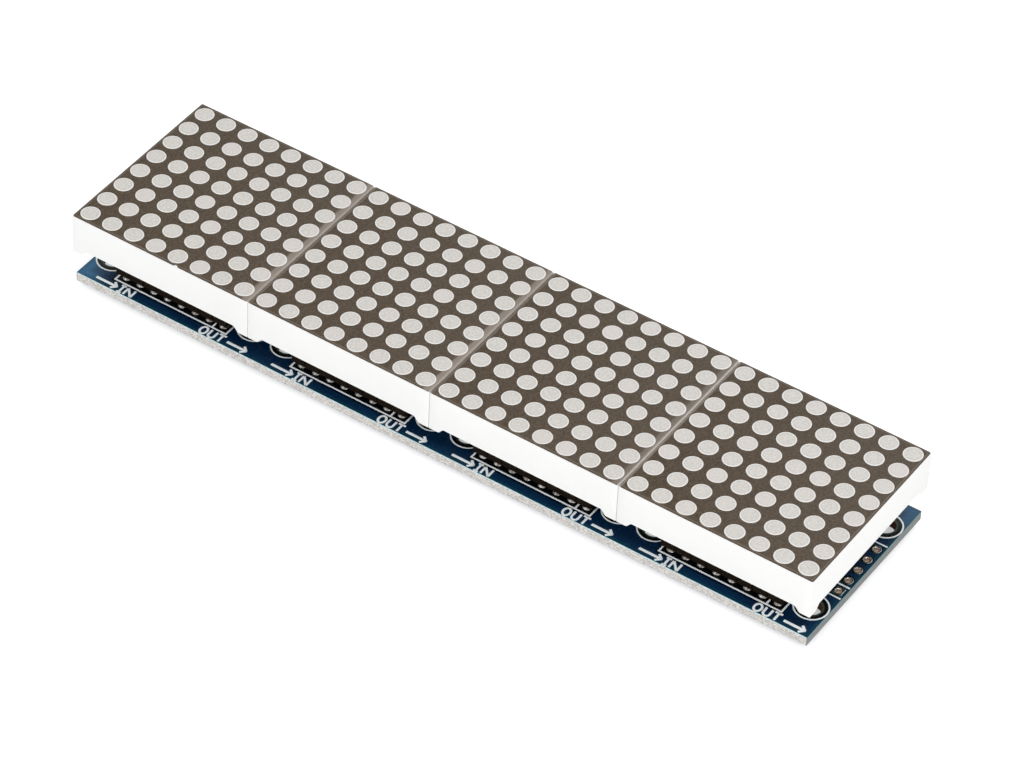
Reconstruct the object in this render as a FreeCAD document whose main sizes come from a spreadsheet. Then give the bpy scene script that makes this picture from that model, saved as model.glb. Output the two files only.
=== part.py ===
import FreeCAD, Part
import math
import os
import Sketcher

os.makedirs("parts", exist_ok=True)
doc = FreeCAD.newDocument("led_dot_matrix")

# Driving sizes in millimetres: alias, value, meaning.
# The frame's origin is under the middle of the row of displays, on the plane that the
# solder joints stand on. X runs from the input end to the output end, Z points at the viewer.
SIZES = (
    ("module_count", 4, "displays in the row"),
    ("display_side", 31.9, "outer side of a display housing"),
    ("display_gap", 0.1, "between one display housing and the next"),
    ("display_height", 6.0, "from a housing's lower edge to its printed face"),
    ("housing_wall", 1.2, "thickness of the wall round the back board"),
    ("foot_drop", 0.9, "how far the corner feet reach below the housing's lower edge"),
    ("foot_root", 2.4, "length of a foot along the wall where it leaves the edge"),
    ("foot_toe", 1.3, "length of a foot along the wall at its lower end"),
    ("print_thickness", 0.15, "dark layer on the face"),
    ("print_margin", 0.1, "white edge left round the dark layer"),
    ("dot_count", 8, "dots along each side of a display"),
    ("dot_sides", 10, "flats round a dot"),
    ("dot_diameter", 3.0, "width of a dot"),
    ("dot_crown", 0.1, "how far a dot's middle stands above the print"),
    ("back_board_thickness", 1.6, "board that closes a housing from below"),
    ("back_board_clearance", 0.1, "gap between that board and the housing wall"),
    ("pin_count", 8, "pins in each of a display's two rows"),
    ("pin_pitch", 2.54, "from one pin to the next"),
    ("pin_row_inset", 3.95, "from a display's side to the nearer row of its pins"),
    ("pin_width", 0.5, "side of a display pin"),
    ("pin_length", 3.0, "reach of a display pin below the back board"),
    ("pin_clearance", 0.05, "gap on each side of a pin in its socket"),
    ("pin_tip_gap", 0.2, "room left below a pin in its socket"),
    ("socket_height", 4.4, "height of a socket strip's body"),
    ("socket_width", 2.4, "width of a socket strip's body"),
    ("socket_end_trim", 0.05, "what a strip lacks of a whole number of pitches at each end"),
    ("socket_standoff", 1.0, "gap between a strip's body and the driver board"),
    ("shoulder_width", 1.1, "side of a contact where it leaves the strip"),
    ("contact_foot", 0.5, "side of a contact where it meets the driver board"),
    ("solder_height", 1.0, "how far a solder joint stands below the driver board"),
    ("solder_base", 1.6, "side of a solder joint at the driver board"),
    ("solder_tip", 0.7, "side of a solder joint at its lower end"),
    ("board_thickness", 1.6, "driver board"),
    ("board_side_inset", 0.45, "how far the driver board's long sides are inside the displays"),
    ("board_end_inset", 0.3, "what the driver board lacks of whole pitches at each end"),
    ("mount_hole_diameter", 3.2, "mounting hole"),
    ("mount_inset_x", 2.95, "from a display's side to a mounting hole, along the row"),
    ("mount_inset_y", 5.95, "from a display's side to a mounting hole, across the row"),
    ("header_count", 5, "cable holes at each end of the board"),
    ("header_pitch", 2.54, "from one cable hole to the next"),
    ("header_hole_diameter", 1.0, "cable hole"),
    ("header_edge", 1.2, "from a cable hole's centre to the end of the board"),
    ("chip_length", 15.4, "driver chip along the row"),
    ("chip_width", 7.5, "driver chip across the row"),
    ("chip_height", 2.3, "driver chip's body"),
    ("chip_standoff", 0.2, "gap between a chip's body and the board"),
    ("chip_draft", 0.25, "how far a chip's faces are smaller than its parting line"),
    ("lead_count", 12, "leads along each side of a chip"),
    ("lead_pitch", 1.27, "from one lead to the next"),
    ("lead_width", 0.42, "width of a lead"),
    ("lead_thickness", 0.28, "thickness of a lead"),
    ("lead_reach", 1.45, "how far a lead's toe is from the chip's side"),
    ("trim_offset_x", 11.0, "from a display's centre to its small components, along the row"),
    ("trim_offset_y", 5.0, "from a display's centre to its outer small components, across it"),
    ("bulk_length", 3.2, "bulk capacitor"),
    ("bulk_width", 1.6, "bulk capacitor"),
    ("bulk_height", 1.6, "bulk capacitor"),
    ("bypass_length", 2.0, "bypass capacitor"),
    ("bypass_width", 1.25, "bypass capacitor"),
    ("bypass_height", 0.9, "bypass capacitor"),
    ("resistor_length", 2.0, "current-setting resistor"),
    ("resistor_width", 1.25, "current-setting resistor"),
    ("resistor_height", 0.5, "current-setting resistor"),
)

sheet = doc.addObject("Spreadsheet::Sheet", "Sizes")
for row, (alias, value, meaning) in enumerate(SIZES, start=1):
    sheet.set(f"A{row}", alias)
    sheet.set(f"B{row}", str(value))
    sheet.set(f"C{row}", meaning)
    sheet.setAlias(f"B{row}", alias)
doc.recompute()

# Levels above the plane that the part stands on, from the solder joints up to the dots.
BOARD_FLOOR = "Sizes.solder_height"
BOARD_TOP = f"({BOARD_FLOOR} + Sizes.board_thickness)"
SOCKET_FLOOR = f"({BOARD_TOP} + Sizes.socket_standoff)"
DISPLAY_FLOOR = f"({SOCKET_FLOOR} + Sizes.socket_height)"
FOOT_FLOOR = f"({DISPLAY_FLOOR} - Sizes.foot_drop)"
FACE_TOP = f"({DISPLAY_FLOOR} + Sizes.display_height)"
PRINT_FLOOR = f"({FACE_TOP} - Sizes.print_thickness)"
CHIP_FLOOR = f"({BOARD_TOP} + Sizes.chip_standoff)"

# The row of displays, whose dots keep one pitch from display to display.
MODULE_PITCH = "(Sizes.display_side + Sizes.display_gap)"
FIRST_MODULE_X = f"(-{MODULE_PITCH} * (Sizes.module_count - 1) / 2)"
DOT_PITCH = f"({MODULE_PITCH} / Sizes.dot_count)"

# Pins and mounting holes, measured from a display's centre.
FIRST_PIN_X = "-Sizes.pin_pitch * (Sizes.pin_count - 1) / 2"
REAR_ROW_Y = "(Sizes.display_side / 2 - Sizes.pin_row_inset)"
FRONT_ROW_Y = f"-{REAR_ROW_Y}"
MOUNT_X = "(Sizes.display_side / 2 - Sizes.mount_inset_x)"
MOUNT_Y = "(Sizes.display_side / 2 - Sizes.mount_inset_y)"

# Outline of the driver board, which follows the displays.
BOARD_LENGTH = f"(Sizes.module_count * {MODULE_PITCH} - 2 * Sizes.board_end_inset)"
BOARD_WIDTH = "(Sizes.display_side - 2 * Sizes.board_side_inset)"

sub_parts = []


def new_body(label):
    """One sub-part, whose label names its file."""
    body = doc.addObject("PartDesign::Body", label)
    body.Label = label
    body.AllowCompound = True
    sub_parts.append(body)
    return body


def module_body(label, module):
    """A sub-part modelled round its display's centre and moved to its place in the row."""
    body = new_body(f"{label}_{module + 1}")
    body.setExpression("Placement.Base.x", f"{FIRST_MODULE_X} + {MODULE_PITCH} * {module}")
    return body


def origin_feature(body, role):
    """A plane or axis of the body's own origin."""
    return next(item for item in body.Origin.OriginFeatures if item.Role == role)


def new_sketch(body, name, plane="XY_Plane", x="0", y="0", z="0"):
    """A sketch on one of the body's origin planes, shifted in its own directions."""
    sketch = body.newObject("Sketcher::SketchObject", name)
    sketch.AttachmentSupport = [(origin_feature(body, plane), "")]
    sketch.MapMode = "FlatFace"
    sketch.setExpression("AttachmentOffset.Base.x", x)
    sketch.setExpression("AttachmentOffset.Base.y", y)
    sketch.setExpression("AttachmentOffset.Base.z", z)
    return sketch


def bind(sketch, constraint, name, expression):
    """Names a dimension of a sketch and ties it to the sizes."""
    index = sketch.addConstraint(constraint)
    sketch.renameConstraint(index, name)
    sketch.setExpression(f"Constraints.{name}", expression)


def add_outline(sketch, points):
    """A closed outline of straight lines through rough starting points."""
    corners = [FreeCAD.Vector(x, y, 0) for x, y in points]
    count = len(corners)
    lines = [
        sketch.addGeometry(Part.LineSegment(corners[i], corners[(i + 1) % count]))
        for i in range(count)
    ]
    for i in range(count):
        sketch.addConstraint(Sketcher.Constraint("Coincident", lines[i], 2, lines[(i + 1) % count], 1))
    return lines


def add_rectangle(sketch, width, depth):
    """A rectangle centred on the sketch's origin."""
    bottom, right, top, left = add_outline(sketch, ((-1, -1), (1, -1), (1, 1), (-1, 1)))
    for line in (bottom, top):
        sketch.addConstraint(Sketcher.Constraint("Horizontal", line))
    for line in (left, right):
        sketch.addConstraint(Sketcher.Constraint("Vertical", line))
    sketch.addConstraint(Sketcher.Constraint("Symmetric", bottom, 1, right, 2, -1, 1))
    bind(sketch, Sketcher.Constraint("DistanceX", bottom, 1, bottom, 2, 2), "width", width)
    bind(sketch, Sketcher.Constraint("DistanceY", right, 1, right, 2, 2), "depth", depth)


def add_circle(sketch, diameter):
    """A circle centred on the sketch's origin."""
    circle = sketch.addGeometry(Part.Circle(FreeCAD.Vector(0, 0, 0), FreeCAD.Vector(0, 0, 1), 1))
    sketch.addConstraint(Sketcher.Constraint("Coincident", circle, 3, -1, 1))
    bind(sketch, Sketcher.Constraint("Diameter", circle, 2), "diameter", diameter)


def add_polygon(sketch, sides, diameter):
    """A regular polygon whose corners lie on a circle round the sketch's origin."""
    turn = 2 * math.pi / sides
    points = [(math.cos(turn * i), math.sin(turn * i)) for i in range(sides)]
    lines = add_outline(sketch, points)
    circle = sketch.addGeometry(Part.Circle(FreeCAD.Vector(0, 0, 0), FreeCAD.Vector(0, 0, 1), 1), True)
    sketch.addConstraint(Sketcher.Constraint("Coincident", circle, 3, -1, 1))
    for line in lines:
        sketch.addConstraint(Sketcher.Constraint("PointOnObject", line, 1, circle))
    for line in lines[1:]:
        sketch.addConstraint(Sketcher.Constraint("Equal", lines[0], line))
    sketch.addConstraint(Sketcher.Constraint("PointOnObject", lines[0], 1, -1))
    bind(sketch, Sketcher.Constraint("Diameter", circle, 2), "diameter", diameter)


def pad(body, sketch, name, length):
    """Material from the sketch upwards."""
    feature = body.newObject("PartDesign::Pad", name)
    feature.Profile = sketch
    feature.setExpression("Length", length)
    return feature


def pocket_up(body, sketch, name, length):
    """A cut from the sketch upwards."""
    feature = body.newObject("PartDesign::Pocket", name)
    feature.Profile = sketch
    feature.Reversed = True
    feature.setExpression("Length", length)
    return feature


def pocket_across(body, sketch, name):
    """A cut on both sides of the sketch, right through the body."""
    feature = body.newObject("PartDesign::Pocket", name)
    feature.Profile = sketch
    feature.Type = "ThroughAll"
    feature.SideType = "Symmetric"
    return feature


def taper(body, name, place, lower, upper, height):
    """A block with flat sloping sides on the place (x, y, z); lower and upper are its (width, depth)."""
    x, y, z = place
    feature = body.newObject("PartDesign::AdditiveWedge", name)
    feature.AttachmentSupport = [(origin_feature(body, "XZ_Plane"), "")]
    feature.MapMode = "FlatFace"
    feature.setExpression("AttachmentOffset.Base.x", x)
    feature.setExpression("AttachmentOffset.Base.y", z)
    feature.setExpression("AttachmentOffset.Base.z", f"-({y})")
    spans = (("X", lower[0]), ("Z", lower[1]), ("X2", upper[0]), ("Z2", upper[1]))
    for side, span in spans:
        feature.setExpression(f"{side}min", f"-({span}) / 2")
        feature.setExpression(f"{side}max", f"({span}) / 2")
    feature.setExpression("Ymin", "0")
    feature.setExpression("Ymax", height)
    return feature


def repeat(body, name, features, rows):
    """Copies of the features along one or more axes; each row is (axis, pitch, count)."""
    steps = []
    pattern = body.newObject("PartDesign::MultiTransform", name)
    pattern.Originals = features
    for number, (axis, pitch, count) in enumerate(rows):
        step = doc.addObject("PartDesign::LinearPattern", f"{name}_step_{number}")
        step.Direction = (origin_feature(body, axis), [""])
        step.setExpression("Length", f"{pitch} * ({count} - 1)")
        step.setExpression("Occurrences", f"{count}")
        body.addObject(step)
        steps.append(step)
    pattern.Transformations = steps
    body.Tip = pattern
    return pattern


# Display housing: one white moulding, solid round its light wells, with a recess for the
# back board and a short foot at each corner. The walls run down to the feet's lower ends
# and are cut away between the feet, with sloped ends.
def make_housing(module):
    body = module_body("housing", module)
    block = new_sketch(body, "housing_outline", z=FOOT_FLOOR)
    add_rectangle(block, "Sizes.display_side", "Sizes.display_side")
    height = "Sizes.foot_drop + Sizes.display_height - Sizes.print_thickness"
    pad(body, block, "housing_block", height)
    recess = new_sketch(body, "recess_outline", z=FOOT_FLOOR)
    inner_side = "Sizes.display_side - 2 * Sizes.housing_wall"
    add_rectangle(recess, inner_side, inner_side)
    pocket_up(body, recess, "recess", "Sizes.foot_drop + Sizes.back_board_thickness")
    for plane, name in (("XZ_Plane", "long_gap"), ("YZ_Plane", "cross_gap")):
        gap = new_sketch(body, f"{name}_outline", plane=plane, y=DISPLAY_FLOOR)
        add_foot_gap(gap)
        pocket_across(body, gap, name)


def add_foot_gap(sketch):
    """The opening between two feet, its upper side on the sketch's horizontal axis."""
    top, right, bottom, left = add_outline(sketch, ((-1, 0), (1, 0), (2, -1), (-2, -1)))
    sketch.addConstraint(Sketcher.Constraint("Horizontal", top))
    sketch.addConstraint(Sketcher.Constraint("Symmetric", top, 1, top, 2, -1, 1))
    sketch.addConstraint(Sketcher.Constraint("Symmetric", bottom, 1, bottom, 2, -2))
    side = "Sizes.display_side"
    root_gap = Sketcher.Constraint("DistanceX", top, 1, top, 2, 2)
    bind(sketch, root_gap, "root_gap", f"{side} - 2 * Sizes.foot_root")
    toe_gap = Sketcher.Constraint("DistanceX", left, 1, right, 2, 4)
    bind(sketch, toe_gap, "toe_gap", f"{side} - 2 * Sizes.foot_toe")
    bind(sketch, Sketcher.Constraint("DistanceY", right, 2, right, 1, 1), "drop", "Sizes.foot_drop")


# Printed face: the dark layer that leaves a thin white edge all round.
def make_print(module):
    body = module_body("face_print", module)
    outline = new_sketch(body, "print_outline", z=PRINT_FLOOR)
    side = "Sizes.display_side - 2 * Sizes.print_margin"
    add_rectangle(outline, side, side)
    pad(body, outline, "print_layer", "Sizes.print_thickness")


# Dots: 64 cast resin lenses in a square grid, each slightly crowned and level with the
# print at its rim.
def make_dots(module):
    body = module_body("dots", module)
    first = f"-{DOT_PITCH} * (Sizes.dot_count - 1) / 2"
    rim = new_sketch(body, "dot_rim", x=first, y=first, z=FACE_TOP)
    add_polygon(rim, int(sheet.dot_sides), "Sizes.dot_diameter")
    peak = new_sketch(body, "dot_peak", x=first, y=first, z=f"{FACE_TOP} + Sizes.dot_crown")
    peak.addGeometry(Part.Point(FreeCAD.Vector(0, 0, 0)))
    peak.addConstraint(Sketcher.Constraint("Coincident", 0, 1, -1, 1))
    dot = body.newObject("PartDesign::AdditiveLoft", "dot")
    dot.Profile = rim
    dot.Sections = [peak]
    dot.Ruled = True
    grid = [(axis, DOT_PITCH, "Sizes.dot_count") for axis in ("X_Axis", "Y_Axis")]
    repeat(body, "dot_grid", [dot], grid)


# Back board: closes the housing from below, level with its lower edge, and rests on the
# socket strips.
def make_back_board(module):
    body = module_body("back_board", module)
    outline = new_sketch(body, "back_board_outline", z=DISPLAY_FLOOR)
    side = "Sizes.display_side - 2 * Sizes.housing_wall - 2 * Sizes.back_board_clearance"
    add_rectangle(outline, side, side)
    pad(body, outline, "back_board_sheet", "Sizes.back_board_thickness")


# The two rows that a display's pins, contacts and solder joints share.
PIN_ROW = ("X_Axis", "Sizes.pin_pitch", "Sizes.pin_count")
PIN_ROWS = (PIN_ROW, ("Y_Axis", f"2 * {REAR_ROW_Y}", "2"))


# Display pins: two rows of eight, from the back board down into the socket strips.
def make_pins(module):
    body = module_body("display_pins", module)
    level = f"{DISPLAY_FLOOR} - Sizes.pin_length"
    outline = new_sketch(body, "pin_outline", x=FIRST_PIN_X, y=FRONT_ROW_Y, z=level)
    add_rectangle(outline, "Sizes.pin_width", "Sizes.pin_width")
    pin = pad(body, outline, "pin", "Sizes.pin_length")
    repeat(body, "pin_rows", [pin], PIN_ROWS)


# Socket strip: a moulded bar with a pin hole in its top at every pitch.
def make_socket(module, side, row_y):
    body = module_body(f"{side}_socket", module)
    outline = new_sketch(body, "socket_outline", y=row_y, z=SOCKET_FLOOR)
    length = "Sizes.pin_count * Sizes.pin_pitch - 2 * Sizes.socket_end_trim"
    add_rectangle(outline, length, "Sizes.socket_width")
    pad(body, outline, "socket_bar", "Sizes.socket_height")
    level = f"{DISPLAY_FLOOR} - Sizes.pin_length - Sizes.pin_tip_gap"
    hole = new_sketch(body, "pin_hole_outline", x=FIRST_PIN_X, y=row_y, z=level)
    width = "Sizes.pin_width + 2 * Sizes.pin_clearance"
    add_rectangle(hole, width, width)
    pin_hole = pocket_up(body, hole, "pin_hole", "Sizes.pin_length + Sizes.pin_tip_gap")
    repeat(body, "pin_holes", [pin_hole], [PIN_ROW])


# Contacts: tapered shoulders that carry the socket strips above the board, each over its
# own solder joint.
def make_contacts(module):
    body = module_body("contacts", module)
    foot = ("Sizes.contact_foot", "Sizes.contact_foot")
    wide = ("Sizes.shoulder_width", "Sizes.shoulder_width")
    first = (FIRST_PIN_X, FRONT_ROW_Y, BOARD_TOP)
    shoulder = taper(body, "shoulder", first, foot, wide, "Sizes.socket_standoff")
    repeat(body, "contact_rows", [shoulder], PIN_ROWS)


# Solder joints: one under each contact's tail, wide at the board and narrow below. The
# whole part stands on them.
def make_solder(module, side, row_y):
    body = module_body(f"{side}_solder", module)
    tip = ("Sizes.solder_tip", "Sizes.solder_tip")
    base = ("Sizes.solder_base", "Sizes.solder_base")
    joint = taper(body, "joint", (FIRST_PIN_X, row_y, "0"), tip, base, "Sizes.solder_height")
    repeat(body, "joint_row", [joint], [PIN_ROW])


# Driver board: one sheet under all displays, with four mounting holes for each display and
# a row of cable holes across each end.
def make_driver_board():
    body = new_body("driver_board")
    outline = new_sketch(body, "board_outline", z=BOARD_FLOOR)
    add_rectangle(outline, BOARD_LENGTH, BOARD_WIDTH)
    pad(body, outline, "board_sheet", "Sizes.board_thickness")
    modules = ("X_Axis", MODULE_PITCH, "Sizes.module_count")

    place = {"x": f"{FIRST_MODULE_X} - {MOUNT_X}", "y": f"-{MOUNT_Y}"}
    mount_outline = new_sketch(body, "mount_hole_outline", z=BOARD_FLOOR, **place)
    add_circle(mount_outline, "Sizes.mount_hole_diameter")
    mount_hole = pocket_up(body, mount_outline, "mount_hole", "Sizes.board_thickness")
    along = ("X_Axis", f"2 * {MOUNT_X}", "2")
    across = ("Y_Axis", f"2 * {MOUNT_Y}", "2")
    repeat(body, "mount_holes", [mount_hole], [along, across, modules])

    end = f"({BOARD_LENGTH} / 2 - Sizes.header_edge)"
    place = {"x": f"-{end}", "y": "-Sizes.header_pitch * (Sizes.header_count - 1) / 2"}
    header_outline = new_sketch(body, "cable_hole_outline", z=BOARD_FLOOR, **place)
    add_circle(header_outline, "Sizes.header_hole_diameter")
    cable_hole = pocket_up(body, header_outline, "cable_hole", "Sizes.board_thickness")
    row = ("Y_Axis", "Sizes.header_pitch", "Sizes.header_count")
    ends = ("X_Axis", f"2 * {end}", "2")
    repeat(body, "cable_holes", [cable_hole], [row, ends])


# Driver chip: a moulded body, widest at its parting line.
def make_chip(module):
    body = module_body("driver_chip", module)
    widest = ("Sizes.chip_length", "Sizes.chip_width")
    smaller = tuple(f"{span} - 2 * Sizes.chip_draft" for span in widest)
    half = "Sizes.chip_height / 2"
    taper(body, "lower_half", ("0", "0", CHIP_FLOOR), smaller, widest, half)
    taper(body, "upper_half", ("0", "0", f"{CHIP_FLOOR} + {half}"), widest, smaller, half)


# Chip leads: twelve on each side, from the parting line down to the board.
def make_leads(module):
    body = module_body("chip_leads", module)
    first = "-Sizes.lead_pitch * (Sizes.lead_count - 1) / 2"
    outline = new_sketch(body, "lead_outline", plane="YZ_Plane", y=BOARD_TOP, z=first)
    add_lead_profile(outline)
    lead = body.newObject("PartDesign::Pad", "lead")
    lead.Profile = outline
    lead.SideType = "Symmetric"
    lead.setExpression("Length", "Sizes.lead_width")
    opposite = body.newObject("PartDesign::MultiTransform", "lead_rows")
    row = doc.addObject("PartDesign::LinearPattern", "lead_row")
    row.Direction = (origin_feature(body, "X_Axis"), [""])
    row.setExpression("Length", "Sizes.lead_pitch * (Sizes.lead_count - 1)")
    row.setExpression("Occurrences", "Sizes.lead_count")
    body.addObject(row)
    mirror = doc.addObject("PartDesign::Mirrored", "lead_mirror")
    mirror.MirrorPlane = (origin_feature(body, "XZ_Plane"), [""])
    body.addObject(mirror)
    opposite.Originals = [lead]
    opposite.Transformations = [row, mirror]
    body.Tip = opposite


def add_lead_profile(sketch):
    """A slanted strip with upright ends; the sketch's origin is on the board."""
    root, under, toe, upper = add_outline(sketch, ((4, 2), (4, 1), (5, 0), (5, 1)))
    for line in (root, toe):
        sketch.addConstraint(Sketcher.Constraint("Vertical", line))
    sketch.addConstraint(Sketcher.Constraint("PointOnObject", toe, 1, -1))
    sketch.addConstraint(Sketcher.Constraint("Parallel", under, upper))
    side = Sketcher.Constraint("DistanceX", -1, 1, root, 1, 4)
    bind(sketch, side, "side", "Sizes.chip_width / 2")
    reach = Sketcher.Constraint("DistanceX", root, 2, toe, 1, 1)
    bind(sketch, reach, "reach", "Sizes.lead_reach")
    thickness = Sketcher.Constraint("DistanceY", toe, 1, toe, 2, 0.5)
    bind(sketch, thickness, "thickness", "Sizes.lead_thickness")
    level = "Sizes.chip_standoff + (Sizes.chip_height - Sizes.lead_thickness) / 2"
    bind(sketch, Sketcher.Constraint("DistanceY", -1, 1, root, 2, 1), "exit_level", level)


# Small components: one of each kind beside every chip, on the board.
def make_trim(label, kind, x, y):
    body = new_body(label)
    outline = new_sketch(body, f"{kind}_outline", x=f"{FIRST_MODULE_X} + {x}", y=y, z=BOARD_TOP)
    add_rectangle(outline, f"Sizes.{kind}_width", f"Sizes.{kind}_length")
    block = pad(body, outline, f"{kind}_block", f"Sizes.{kind}_height")
    modules = ("X_Axis", MODULE_PITCH, "Sizes.module_count")
    repeat(body, f"{kind}_copies", [block], [modules])


make_driver_board()
for index in range(int(sheet.module_count)):
    make_housing(index)
    make_print(index)
    make_dots(index)
    make_back_board(index)
    make_pins(index)
    make_contacts(index)
    for name, row_y in (("front", FRONT_ROW_Y), ("rear", REAR_ROW_Y)):
        make_socket(index, name, row_y)
        make_solder(index, name, row_y)
    make_chip(index)
    make_leads(index)
make_trim("bulk_capacitors", "bulk", "-Sizes.trim_offset_x", "Sizes.trim_offset_y")
make_trim("bypass_capacitors", "bypass", "-Sizes.trim_offset_x", "-Sizes.trim_offset_y")
make_trim("resistors", "resistor", "Sizes.trim_offset_x", "Sizes.trim_offset_y")

doc.recompute()
for item in doc.Objects:
    if "Invalid" in item.State or "Error" in item.State:
        raise RuntimeError(f"{item.Label} failed: {item.State}")
for body in sub_parts:
    if body.Shape.isNull() or not body.Shape.isValid():
        raise RuntimeError(f"{body.Label} has no valid shape")
for body in sub_parts:
    body.Shape.exportStep(f"parts/{body.Label}.step")
    print(body.Label, len(body.Shape.Solids), round(body.Shape.Volume, 2))
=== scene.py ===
import math
import bmesh
import bpy
from mathutils import Matrix, Vector


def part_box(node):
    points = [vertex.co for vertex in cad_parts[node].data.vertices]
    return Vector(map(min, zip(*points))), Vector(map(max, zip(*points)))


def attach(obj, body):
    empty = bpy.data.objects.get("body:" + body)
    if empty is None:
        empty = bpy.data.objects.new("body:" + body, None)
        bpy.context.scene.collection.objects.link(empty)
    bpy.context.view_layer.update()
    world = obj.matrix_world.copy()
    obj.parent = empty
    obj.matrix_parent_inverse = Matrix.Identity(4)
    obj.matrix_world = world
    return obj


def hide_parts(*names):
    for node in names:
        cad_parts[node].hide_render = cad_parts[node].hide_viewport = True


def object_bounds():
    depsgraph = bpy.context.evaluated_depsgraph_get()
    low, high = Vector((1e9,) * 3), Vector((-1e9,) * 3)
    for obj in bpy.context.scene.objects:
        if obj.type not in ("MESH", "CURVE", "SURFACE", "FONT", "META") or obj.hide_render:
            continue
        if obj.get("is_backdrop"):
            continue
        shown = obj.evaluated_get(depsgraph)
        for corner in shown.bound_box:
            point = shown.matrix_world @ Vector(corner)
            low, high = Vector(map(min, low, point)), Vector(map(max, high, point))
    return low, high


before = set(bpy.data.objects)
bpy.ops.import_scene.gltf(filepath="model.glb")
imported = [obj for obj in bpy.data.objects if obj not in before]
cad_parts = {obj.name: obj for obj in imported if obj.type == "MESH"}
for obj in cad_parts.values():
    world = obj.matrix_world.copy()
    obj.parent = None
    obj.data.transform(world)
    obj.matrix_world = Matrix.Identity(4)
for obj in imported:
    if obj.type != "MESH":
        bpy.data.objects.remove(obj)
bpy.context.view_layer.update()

# Lengths are in millimetres, and MM turns them into metres.
MM = 0.001

# Driver board: one long sheet of glass-fibre laminate under all four displays. It is lacquered blue over
# copper and looks nearly black where there is no copper: inside the socket outlines, round the mounting
# holes and round the cable pads. Its cut sides are bare laminate, greyer at the ends.
PITCH = 32
MODULE_CENTRES = [-48.0, -16.0, 16.0, 48.0]
PIN_PITCH = 2.54
BOARD_TOP = 2.6
BOARD_FLOOR = 1.0
BOARD_END = 63.7
BOARD_SIDE = 15.5
SOCKET_Y = 12
MOUNT_X = 13
MOUNT_Y = 10
RING_RADIUS = 2.54
OUTLINE_X = 10.16
OUTLINE_Y = 1.33
PAD_X = 62.5
BARE_PAD_RADIUS = 0.94
PADS_END = 6.2
EDGE_MARGIN = 0.005


class Wire:
    """A value on its way through a finish: sums and comparisons on it add maths nodes."""

    def __init__(self, finish, socket):
        self.finish = finish
        self.socket = socket

    def maths(self, operation, *values):
        sockets = dict(enumerate(values))
        return self.finish.node("ShaderNodeMath", {"operation": operation}, sockets)

    def __add__(self, other):
        return self.maths("ADD", self, other)

    def __sub__(self, other):
        return self.maths("SUBTRACT", self, other)

    def __rsub__(self, other):
        return self.maths("SUBTRACT", other, self)

    def __mul__(self, other):
        return self.maths("MULTIPLY", self, other)

    def __pow__(self, other):
        return self.maths("POWER", self, other)

    def __mod__(self, other):
        return self.maths("FLOORED_MODULO", self, other)

    def __lt__(self, other):
        return self.maths("LESS_THAN", self, other)

    def __gt__(self, other):
        return self.maths("GREATER_THAN", self, other)

    def __abs__(self):
        return self.maths("ABSOLUTE", self)

    def either(self, other):
        return self.maths("MAXIMUM", self, other)


class Finish:
    """One procedural surface finish, built on the principled shader. Its lengths are in millimetres."""

    def __init__(self, name, **constants):
        self.material = bpy.data.materials.new(name)
        self.material.use_nodes = True
        self.tree = self.material.node_tree
        self.shader = self.tree.nodes["Principled BSDF"]
        for socket, value in constants.items():
            self.shader.inputs[socket.replace("_", " ")].default_value = value
        self.material.diffuse_color = constants["Base_Color"]

    def node(self, kind, settings, sockets, out=0):
        """Adds a node: its settings first, then the value or link of each named socket."""
        made = self.tree.nodes.new(kind)
        for setting, value in settings.items():
            setattr(made, setting, value)
        for socket, value in sockets.items():
            if isinstance(value, Wire):
                self.tree.links.new(value.socket, made.inputs[socket])
            else:
                made.inputs[socket].default_value = value
        return Wire(self, made.outputs[out])

    def feed(self, socket, wire):
        """Lets a varying value or colour drive one of the shader's sockets."""
        self.tree.links.new(wire.socket, self.shader.inputs[socket])

    def place(self):
        """The point on the piece, in metres."""
        return self.node("ShaderNodeTexCoord", {}, {}, "Object")

    def axes(self):
        """The same point as three numbers in millimetres."""
        point = self.place()
        return [self.node("ShaderNodeSeparateXYZ", {}, {0: point}, axis) * 1000 for axis in range(3)]

    def from_centre(self, x):
        """How far x is past the middle of its display."""
        return (x + PITCH * 2) % PITCH - PITCH / 2

    def reach(self, x, y):
        """Distance from the middle, as the root of two squares."""
        return (x * x + y * y) ** 0.5

    def from_pad(self, x, y):
        """Distance from the middle of the nearest cable hole."""
        return self.reach(abs(x) - PAD_X, (y + PIN_PITCH / 2) % PIN_PITCH - PIN_PITCH / 2)

    def grain(self, size, detail=3.0, stretch=(1, 1, 1)):
        """Cloudy noise from 0 to 1 whose patches are about that many millimetres across."""
        spread = self.node("ShaderNodeMapping", {}, {"Vector": self.place(), "Scale": stretch})
        sockets = {"Vector": spread, "Scale": 1000 / size, "Detail": detail, "Roughness": 0.6}
        return self.node("ShaderNodeTexNoise", {}, sockets)

    def ease(self, value, low, high):
        """A soft step from 0 at low to 1 at high."""
        sockets = {"Value": value, "From Min": low, "From Max": high}
        return self.node("ShaderNodeMapRange", {"interpolation_type": "SMOOTHSTEP"}, sockets)

    def between(self, value, first, second):
        """A plain number between two others, as value goes from 0 to 1."""
        return value * (second - first) + first

    def blend(self, factor, first, second):
        """A colour between two others."""
        sockets = {0: factor, 6: first, 7: second}
        return self.node("ShaderNodeMix", {"data_type": "RGBA"}, sockets, 2)

    def relief(self, height, depth):
        """Fine relief of that depth on the surface."""
        sockets = {"Height": height, "Distance": depth * MM}
        self.feed("Normal", self.node("ShaderNodeBump", {}, sockets))


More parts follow.
